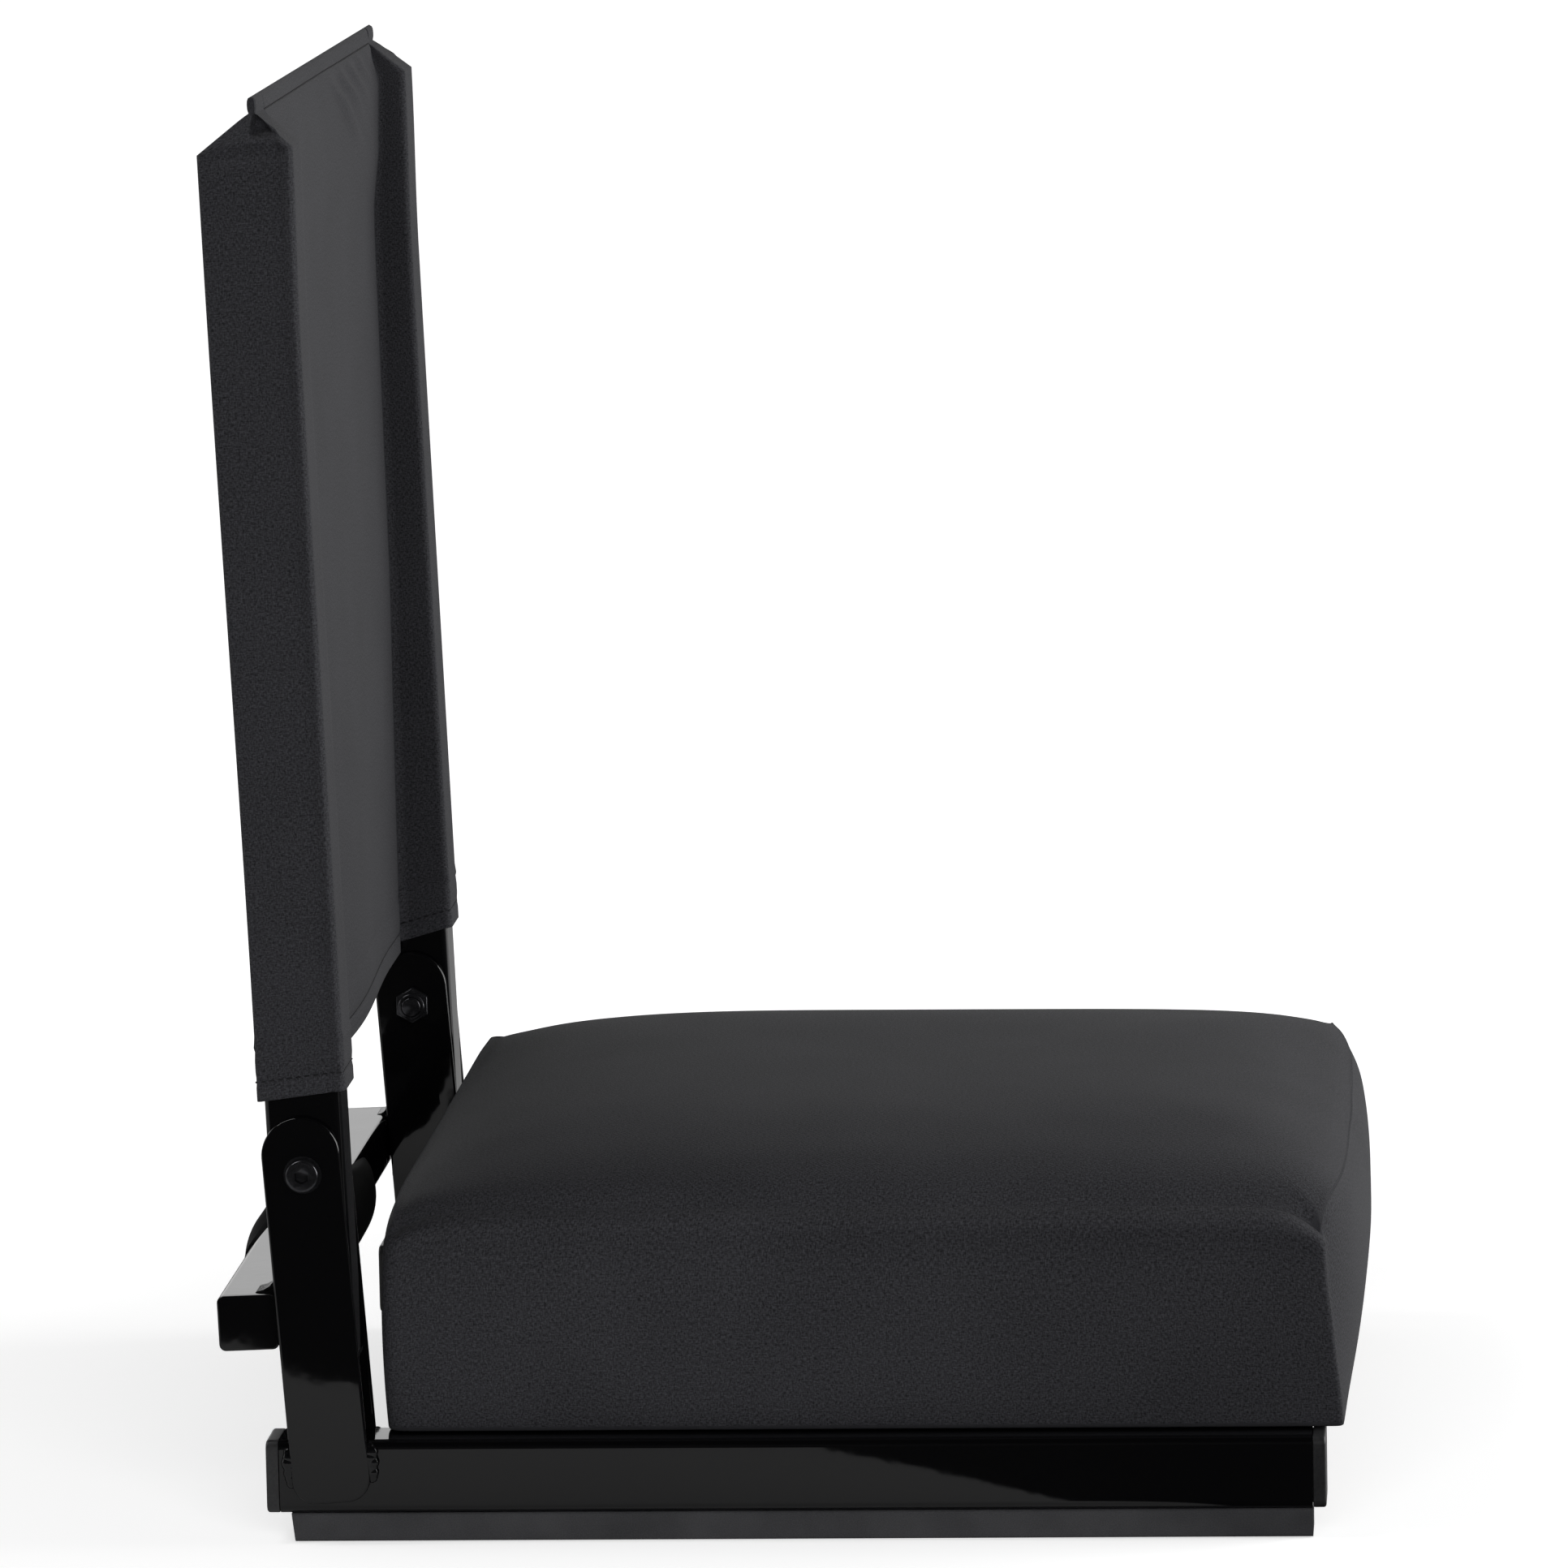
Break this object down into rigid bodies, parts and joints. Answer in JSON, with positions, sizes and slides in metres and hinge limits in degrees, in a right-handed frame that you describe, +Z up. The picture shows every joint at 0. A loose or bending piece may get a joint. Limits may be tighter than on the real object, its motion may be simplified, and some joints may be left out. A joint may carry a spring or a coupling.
{
  "type": "folding bleacher seat",
  "caption": "Folding bleacher seat: steel rails with a thick canvas cushion, and a canvas back on leaning posts that hinges forward over it; a gripped bar is stop and handle.",
  "frame": {"origin": "on the ground, under the middle of the seat's overall outline", "axes": "+X to the front, the way a sitter faces; +Y to the sitter's left; +Z up"},
  "size_m": [0.4457, 0.4474, 0.5506],
  "materials": {
    "gloss_black_paint": "gloss black powder paint",
    "black_oxide_steel": "black oxide, slightly bright at the edges",
    "black_plastic": "fine moulded texture",
    "white_nylon": "plain moulded",
    "non_slip_rubber": "matt, dusty black",
    "charcoal_canvas": "close plain weave, matt",
    "grip_foam": "matt closed-cell foam",
    "seat_filling": "open-cell foam",
    "plywood": "raw birch ply"
  },
  "bodies": {
    "base": {"bolt_washer_left": "black_oxide_steel", "bolt_washer_right": "black_oxide_steel", "cross_tube_front": "gloss_black_paint", "cross_tube_rear": "gloss_black_paint", "foot_strip_left": "non_slip_rubber", "foot_strip_right": "non_slip_rubber", "lock_nut_left": "black_oxide_steel", "lock_nut_right": "black_oxide_steel", "pivot_bolt_left": "black_oxide_steel", "pivot_bolt_right": "black_oxide_steel", "pivot_washer_inner_left": "white_nylon", "pivot_washer_inner_right": "white_nylon", "pivot_washer_outer_left": "white_nylon", "pivot_washer_outer_right": "white_nylon", "rail_cap_front_left": "black_plastic", "rail_cap_front_right": "black_plastic", "rail_cap_rear_left": "black_plastic", "rail_cap_rear_right": "black_plastic", "seat_board": "plywood", "seat_cover": "charcoal_canvas", "seat_foam": "seat_filling", "seat_screw_front_left": "black_oxide_steel", "seat_screw_front_right": "black_oxide_steel", "seat_screw_rear_left": "black_oxide_steel", "seat_screw_rear_right": "black_oxide_steel", "side_rail_left": "gloss_black_paint", "side_rail_right": "gloss_black_paint", "strap_inner_left": "gloss_black_paint", "strap_inner_right": "gloss_black_paint", "strap_outer_left": "gloss_black_paint", "strap_outer_right": "gloss_black_paint"},
    "back": {"back_cover": "charcoal_canvas", "back_post_left": "gloss_black_paint", "back_post_right": "gloss_black_paint", "handle_grip": "grip_foam", "pivot_bush_left": "black_oxide_steel", "pivot_bush_right": "black_oxide_steel", "post_plug_bottom_left": "black_plastic", "post_plug_bottom_right": "black_plastic", "post_plug_top_left": "black_plastic", "post_plug_top_right": "black_plastic", "stop_bar": "gloss_black_paint", "stop_bar_cap_left": "black_plastic", "stop_bar_cap_right": "black_plastic"}
  },
  "joints": [
    {"name": "back_fold", "type": "hinge", "parent": "base", "child": "back", "pos_m": [-0.17921, 0, 0.1436], "axis": [0, 1, 0], "range_deg": [0, 88]}
  ]
}
